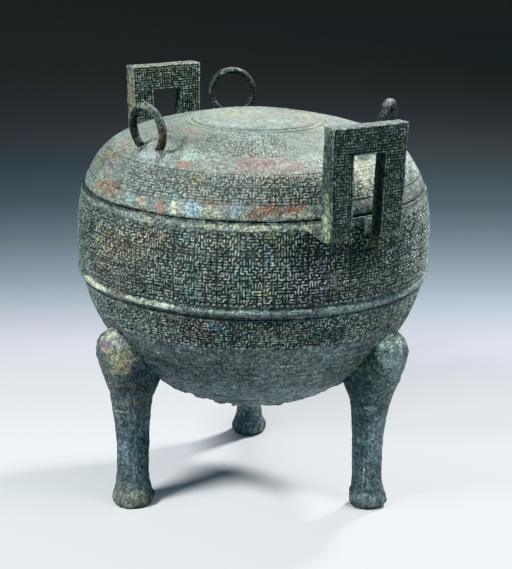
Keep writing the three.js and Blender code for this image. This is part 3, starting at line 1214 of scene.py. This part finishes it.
def leg_stain_and_painted_light(number, z, facing, along, up, strength, stain_or_painted_light):
    """A stain or painted highlight on the side of a leg that faces the bearing given."""
    centre, outward, sideways = leg_shape_at(number, z)
    hub = polar(math.radians(leg_bearing + 360.0 / leg_count * number), centre, z)
    spot = hub + polar(math.radians(facing), (outward + sideways) / 2, 0.0)
    return tuple(spot * mm), facing, (14 * mm, along * mm, up * mm), strength, stain_or_painted_light


def dab(place, reach, strength, stain_or_painted_light):
    """A stain about any place, with how far it reaches along each axis."""
    return tuple(v * mm for v in place), 0.0, tuple(v * mm for v in reach), strength, stain_or_painted_light


def girdle(z, up, strength, stain_or_painted_light):
    """A stain, painted highlight or painted shade that runs right round the vessel."""
    return (0.0, 0.0, z * mm), 0.0, (wide, wide, up * mm), strength, stain_or_painted_light


body_marks = [  # bearing, height, half length, half height, strength, colour
    (-74, 217, 26, 13, 0.5, tone(134, 128, 104)),
    (-62, 227, 16, 6, 0.5, tone(116, 96, 78)),
    (-86, 206, 12, 16, 0.4, tone(128, 128, 104)),
    (-54, 208, 16, 26, 0.25, slate_deep),
    (-52, 229, 5, 4, 0.5, teal),
    (-26.5, 219, 2.6, 11, 0.6, azurite),
    (-33, 205, 8, 16, 0.35, teal),
    (-43, 165, 7, 4, 0.6, azurite),
    (-48, 160, 9, 7, 0.35, tone(112, 92, 86)),
    (-28, 193, 6, 3, 0.5, straw),
    (-77, 177, 7, 6, 0.6, tone(128, 100, 86)),
    (-12, 200, 22, 16, 0.3, violet),
    # painted shade: the bowl darker to the right of the front
    (4, 212, 30, 20, 0.35, slate_deep),
    # painted highlight: a pale sheen down the bowl's right edge
    (40, 206, 36, 44, 0.9, tone(140, 150, 144)),
    (0, 168, 34, 14, 0.4, tone(100, 122, 120)),
    (-80, 160, 40, 14, 0.4, slate_pale),
    (-72, 138, 24, 8, 0.6, tone(110, 122, 116)),
    (-42, 229, 18, 3.4, 0.35, tone(126, 130, 108)),
    (-13, 239.5, 12, 4, 0.9, cream),
    (-33, 239, 13, 3.2, 0.6, tone(176, 178, 150)),
    (-46, 239, 8, 3.2, 0.5, olive),
    (-66, 239, 16, 3.2, 0.5, tone(120, 124, 100)),
    (-60, 96, 60, 9, 0.5, tone(98, 112, 118)),
    (-20, 100, 60, 9, 0.45, tone(98, 114, 120)),
    (-80, 128, 30, 10, 0.45, tone(46, 54, 54)),
    (-40, 126, 26, 8, 0.4, tone(44, 54, 54)),
    (-67, 135, 2.2, 0.7, 0.95, cream),
    (140, 215, 30, 14, 0.45, tone(134, 126, 106)),
    (95, 190, 24, 12, 0.35, teal),
    (-160, 205, 30, 16, 0.4, violet),
]
body_stains_and_painted_light = [body_stain_and_painted_light(*mark) for mark in body_marks] + [
    girdle(239.4, 2.6, 0.4, tone(150, 160, 146)),
    body_stain_and_painted_light(-30, 239.4, 50, 2.6, 0.45, tone(168, 172, 150)),
    # cream crust with a painted highlight along the top of the raised string, strongest on the left
    girdle(177.8, 1.5, 0.4, tone(134, 148, 140)),
    body_stain_and_painted_light(-92, 178.2, 20, 2.8, 0.9, cream),
    body_stain_and_painted_light(-64, 178.2, 24, 1.9, 0.85, tone(178, 184, 164)),
    body_stain_and_painted_light(-36, 178.2, 24, 1.0, 0.45, tone(160, 174, 166)),
    # dirt and painted shade in the groove under the string, along the top of the upper register and at the
    # seam under the lid
    girdle(172.6, 1.0, 0.8, soot_and_painted_shade),
    girdle(234.8, 0.9, 0.7, soot_and_painted_shade),
    girdle(241.8, 1.3, 0.95, soot_and_painted_shade),
]
leg_marks = [  # for each leg: height, way it faces, half length, half height, strength, colour
    [
        (124, -30, 12, 12, 0.8, tone(158, 160, 130)),
        (136, -48, 12, 6, 0.7, tone(142, 146, 142)),
        (140, -66, 9, 4, 0.8, tone(176, 182, 160)),
        (118, -24, 6, 5, 0.5, tone(160, 136, 110)),
        (110, -66, 5, 18, 0.5, tone(108, 116, 112)),
        (133, -68, 3.4, 3.0, 0.75, tone(150, 108, 96)),
        (94, -40, 18, 14, 0.5, tone(66, 64, 58)),
        (86, -40, 18, 2.2, 0.45, tone(108, 98, 84)),
        (101, -40, 18, 1.6, 0.4, tone(104, 98, 88)),
        (78.5, -64, 6, 0.8, 0.8, tone(156, 152, 128)),
        (60, -40, 18, 9, 0.4, tone(66, 92, 96)),
        (46, -62, 6, 12, 0.5, tone(112, 136, 142)),
        (34, -40, 18, 22, 0.4, tone(98, 118, 122)),
        (7, -40, 22, 8, 0.6, tone(134, 138, 118)),
        (16, -60, 7, 6, 0.5, tone(124, 132, 120)),
    ],
    [
        # pale patina with a painted pool of light on the top of the knee
        (137, -31, 15, 7, 0.95, tone(178, 196, 184)),
        (128, -20, 12, 9, 0.8, tone(142, 164, 160)),
        (112, 10, 9, 16, 0.5, tone(112, 134, 136)),
        (60, -5, 7, 20, 0.5, tone(112, 134, 138)),
        (48, -24, 22, 46, 0.35, tone(104, 126, 130)),
        (32, -48, 0.8, 9, 0.8, tone(170, 180, 176)),
        (52, -30, 0.7, 26, 0.45, tone(150, 164, 160)),
        (83, -28, 5, 2.2, 0.5, tone(150, 164, 160)),
        (8, -30, 20, 5, 0.5, tone(122, 134, 136)),
    ],
    [
        (110, 150, 12, 14, 0.5, tone(142, 144, 116)),
        (40, -31, 18, 60, 0.85, tone(122, 136, 136)),
    ],
]
leg_stains_and_painted_light = [leg_stain_and_painted_light(number, *mark) for number, marks in enumerate(leg_marks) for mark in marks]
ear_side = ear_half + 0.9
window_side = ear_half * (1 - 2 * ear_window[0] / ear_columns)
ear_stains_and_painted_highlight = [
    dab((152, 0.0, 270), (8, 60, 60), 0.35, tone(46, 52, 50)),
    dab((-145, 0.0, 270), (20, 60, 60), 0.35, tone(112, 118, 104)),
    # pale patina with a painted highlight on the ears' top faces
    girdle(ear_high_z + 0.6, 2.6, 0.75, tone(112, 120, 115)),
    dab((145, window_side, 262), (9, 2.2, 44), 0.95, tone(40, 38, 33)),
    dab((-145, window_side, 262), (9, 2.2, 44), 0.8, tone(46, 42, 36)),
    dab((145, -ear_side, 272), (20, 1.6, 34), 0.85, tone(54, 72, 62)),
    dab((147, -ear_side, 244), (5, 1.8, 18), 0.7, tone(150, 160, 124)),
    dab((151.5, -ear_side, 262), (1.6, 1.6, 60), 0.7, tone(38, 46, 40)),
    dab((-145, -ear_side, 262), (20, 1.6, 50), 0.6, tone(120, 112, 92)),
    dab((-145, 0.0, 312), (20, 24, 7), 0.4, olive),
]
lid_marks = [  # bearing, distance along the dome, half length, half height, strength, colour
    (0, 0, 44, 44, 0.6, tone(146, 153, 143)),
    (-144, 13, 14, 10, 0.45, straw),
    (60, 44, 30, 10, 0.4, straw),
    (58, 33, 16, 10, 0.35, violet),
    (20, 22, 10, 9, 0.35, mint),
    (-60, 34, 16, 7, 0.4, tone(160, 172, 178)),
    (-5.7, 7.2, 1.7, 1.5, 0.95, soot_and_painted_shade),
    (-82, 62, 16, 7, 0.5, rose),
    (-26, 103, 30, 10, 0.65, tone(126, 100, 92)),
    # pale cream patina with painted light over the lid's right side
    (8, 112, 20, 18, 0.8, tone(166, 168, 148)),
    (32, 108, 26, 24, 0.7, tone(160, 166, 152)),
    (50, 106, 26, 32, 0.9, tone(190, 198, 190)),
    (-100, 112, 20, 14, 0.35, rose),
    (-30, 101, 14, 5, 0.5, tone(112, 76, 70)),
    (-58.8, 107.5, 5.4, 5, 0.8, brick),
    (-58, 96, 9, 7, 0.55, mint),
    (-76, 103, 12, 6, 0.6, tone(160, 172, 178)),
    (-51.4, 120, 8, 6, 0.6, olive),
    (-20, 121, 20, 7, 0.3, tone(128, 124, 110)),
    (150, 90, 26, 14, 0.5, rose),
    (95, 118, 24, 9, 0.5, rust),
]
rim_marks = [  # bearing, height above the lid's edge, half length, half height, strength, colour
    (-89, 8.5, 13, 5.5, 0.85, tone(138, 106, 80)),
    (-75.3, 8.0, 6, 4.5, 0.7, tone(140, 164, 158)),
    (-70, 8.0, 4, 4.0, 0.6, tone(164, 146, 110)),
    (-62, 5.5, 5, 4.5, 0.85, tone(132, 86, 74)),
    (-56.5, 7.5, 4, 4.5, 0.7, cream),
    (-50.7, 6.5, 7, 6.0, 0.9, tone(124, 156, 164)),
    (-43, 11.5, 13, 2.2, 0.6, tone(122, 96, 76)),
    (-43.8, 5.5, 9, 3.6, 0.75, tone(154, 156, 134)),
    (-36.5, 8.0, 4, 4.5, 0.85, tone(120, 146, 158)),
    (-23, 8.0, 20, 4.6, 0.9, tone(132, 92, 74)),
    (-17, 4.5, 12, 2.4, 0.6, cream),
    (-30, 4.0, 7, 2.2, 0.6, tone(84, 70, 58)),
    (-6, 7.0, 10, 4.5, 0.6, tone(150, 148, 112)),
    (22, 7.0, 16, 4.5, 0.6, rust),
    (60, 7.0, 20, 4.5, 0.6, azurite),
    (110, 7.0, 24, 4.5, 0.7, brick),
    (165, 7.0, 22, 4.5, 0.7, straw),
    (-130, 7.0, 20, 4.5, 0.7, azurite),
]
lid_stains_and_painted_light = [lid_stain_and_painted_light(*mark) for mark in lid_marks]
# painted shadow: a dark line round the lid's lower edge, where it sits on the bowl
lid_stains_and_painted_light.append(girdle(dome_edge[1] + 0.2, 1.5, 0.95, soot_and_painted_shade))
lid_stains_and_painted_light += [rim_stain(*mark) for mark in rim_marks]
ring_stains_and_painted_highlight = [
    dab((34.3, -95.5, 290), (7, 7, 11), 0.6, tone(90, 74, 62)),
    dab((0.5, -101.5, 288), (8, 7, 16), 1.0, tone(10, 13, 10)),
    # painted highlight along the tops of the rings
    girdle(ring_lift + ring_middle + 279.0, 2.6, 0.6, tone(120, 128, 118)),
    girdle(278.4, 3.0, 0.8, tone(140, 146, 134)),
]

# ---------------------------------------------------------------- build

body_tones = (slate, slate_pale, slate_deep)
low_tones = (steel, steel_pale, steel_deep)
lid_tones = (lid_low, slate_pale, slate)
lid_crown = (verdigris, verdigris_pale, verdigris_deep)
ring_tones = (soot_and_painted_shade, slate, tone(24, 29, 27))
ear_tones = (tone(74, 81, 78), tone(102, 110, 106), tone(50, 56, 54))

stamped_shades = (shade(0.29, 0.305, 0.30), shade(2.8, 2.7, 2.6))
ear_shades = (shade(0.34, 0.38, 0.36), shade(1.9, 1.95, 1.9))
lid_shades = (shade(0.33, 0.35, 0.34), shade(1.62, 1.62, 1.58))
flat_streaks = (9.0, 9.0, 1.0)
upright_streaks = (1.0, 1.0, 7.0)

stamped_bronze = bronze(
    "stamped_bronze", body_tones, body_stains_and_painted_light, stamped=stamped_shades, grit=0.4, dots=0.08, grains=0.5,
)
plain_bronze = bronze("plain_bronze", low_tones, body_stains_and_painted_light, stretch=flat_streaks, drawn=0.85, grains=0.6)
leg_bronze = bronze(
    "leg_bronze", low_tones, leg_stains_and_painted_light, stretch=upright_streaks, drawn=0.6, grains=0.5, hues=0.5, dots=0.0,
)
ear_bronze = bronze(
    "ear_bronze", ear_tones, ear_stains_and_painted_highlight, stamped=ear_shades,
    stretch=upright_streaks, drawn=0.4, hues=0.25, dots=0.0,
)
lid_plain = bronze("lid_plain", lid_tones, lid_stains_and_painted_light, crown=lid_crown, grains=0.55, dots=0.08)
lid_stamped = bronze(
    "lid_stamped", lid_tones, lid_stains_and_painted_light, crown=lid_crown, stamped=lid_shades,
    grit=0.45, dots=0.08, grains=0.35,
)
ring_bronze = bronze("ring_bronze", ring_tones, ring_stains_and_painted_highlight, dots=0.0)

body_skin = ("vessel", "vessel_bronze", stamped_bronze, on_body, body_wear, body_flat)
lid_skin = ("lid", "lid_bronze", lid_stamped, on_dome, lid_wear, lid_flat)

build_bowl(plain_bronze)
build_legs(leg_bronze)
build_ears(ear_bronze)
build_band("vessel_upper_band", body_skin, upper_band, blocks=52, rows=51, seed=11, seams=(18, 34))
build_band("vessel_lower_band", body_skin, lower_band, blocks=49, rows=23, seed=23)
build_lid(lid_plain)
build_rings(ring_bronze)
build_band("lid_lower_band", lid_skin, lid_lower_band, blocks=46, rows=23, seed=31, seams=(12,))
build_band("lid_upper_band", lid_skin, lid_upper_band, blocks=28, rows=39, seed=37, seams=(20,))

# ---------------------------------------------------------------- camera, floor and light

view_bearing = math.radians(59.0)
view_height = math.radians(16.0)
view_roll = math.radians(0.9)
view_distance = 1.350
view_target = Vector((0.00125, 0.00208, 0.16065))
floor_reach = 4.0  # painted shade: the paper's colour darkens from the vessel to this far behind it, as the light falls off
floor_half = 45.0


def from_viewer(right, away, up):
    """A point given as the viewer sees it, turned into the part's frame, in metres."""
    return Matrix.Rotation(view_bearing, 3, "Z") @ Vector((right, away, up))


def add_camera():
    data = bpy.data.cameras.new("camera")
    data.type = "PERSP"
    data.sensor_width = 36.0
    data.lens = 109.96
    data.clip_start = 0.05
    data.clip_end = 150.0
    camera = set_out("camera", data)
    back = from_viewer(0.0, -math.cos(view_height), math.sin(view_height))
    side = from_viewer(1.0, 0.0, 0.0)
    above = back.cross(side)
    right = side * math.cos(view_roll) + above * math.sin(view_roll)
    up = back.cross(right)
    turn = Matrix((right, up, back)).transposed()
    camera.matrix_world = Matrix.Translation(view_target + back * view_distance) @ turn.to_4x4()
    bpy.context.scene.camera = camera


def add_floor():
    bm = bmesh.new()
    bmesh.ops.create_grid(bm, x_segments=8, y_segments=8, size=floor_half)
    mesh = bpy.data.meshes.new("floor")
    bm.to_mesh(mesh)
    bm.free()
    material = bpy.data.materials.new("floor_paper_with_painted_shade")
    material.use_nodes = True
    tree = material.node_tree
    tree.nodes.clear()
    away = add(tree, "ShaderNodeVectorMath", operation="DOT_PRODUCT")
    feed(tree, away.inputs[0], object_place(tree))
    feed(tree, away.inputs[1], from_viewer(0.0, 1.0, 0.0))
    ramp = add(tree, "ShaderNodeValToRGB")
    feed(tree, ramp.inputs["Fac"], arithmetic(tree, "DIVIDE", away.outputs["Value"], floor_reach, True))
    shades = [  # share of the way to floor_reach, and the red, green and blue of the paper there, with painted shade that deepens with distance
        (0.000, 213, 214, 216),
        (0.018, 217, 218, 221),
        (0.030, 196, 197, 199),
        (0.043, 190, 189, 192),
        (0.057, 181, 183, 185),
        (0.071, 177, 177, 183),
        (0.087, 169, 169, 176),
        (0.103, 155, 158, 165),
        (0.121, 138, 147, 154),
        (0.141, 122, 131, 141),
        (0.162, 109, 119, 128),
        (0.185, 98, 106, 113),
        (0.210, 87, 96, 103),
        (0.237, 75, 87, 91),
        (0.267, 76, 84, 88),
        (0.301, 74, 81, 84),
        (0.338, 81, 82, 84),
        (0.379, 84, 83, 84),
        (0.426, 88, 86, 86),
        (0.479, 94, 91, 87),
        (0.539, 102, 97, 91),
        (0.609, 111, 105, 98),
        (0.691, 122, 111, 104),
        (0.778, 128, 115, 106),
    ]
    set_stops(ramp, [(share, tone(red, green, blue)) for share, red, green, blue in shades])
    paper = add(tree, "ShaderNodeBsdfPrincipled")
    feed(tree, paper.inputs["Base Color"], ramp.outputs["Color"])
    paper.inputs["Roughness"].default_value = 0.9
    paper.inputs["Specular IOR Level"].default_value = 0.1
    out = add(tree, "ShaderNodeOutputMaterial")
    tree.links.new(paper.outputs["BSDF"], out.inputs["Surface"])
    mesh.materials.append(material)
    set_out("floor", mesh)


def softbox(name, place, size, power, colour=(1.0, 1.0, 1.0)):
    """A round soft light that points at the middle of the legs."""
    data = bpy.data.lights.new(name, "AREA")
    data.shape = "DISK"
    data.size = size
    data.energy = power
    data.color = colour
    lamp = set_out(name, data)
    lamp.location = place
    lamp.rotation_euler = (Vector((0.0, 0.0, 0.12)) - place).to_track_quat("-Z", "Y").to_euler()


def add_lights():
    softbox("left_light", from_viewer(-0.75, -0.63, 1.14), 0.35, 25.5, (0.98, 1.0, 1.0))
    softbox("back_light", from_viewer(0.62, 0.71, 1.17), 0.20, 25.5, (1.0, 1.0, 0.99))
    softbox("right_light", from_viewer(0.85, -0.53, 1.12), 0.36, 8.5)
    world = bpy.data.worlds.new("studio")
    world.use_nodes = True
    sky = world.node_tree.nodes["Background"]
    sky.inputs["Color"].default_value = tone(170, 198, 216)
    sky.inputs["Strength"].default_value = 0.34
    bpy.context.scene.world = world


add_camera()
add_floor()
add_lights()
bpy.context.scene.view_settings.view_transform = "Khronos PBR Neutral"
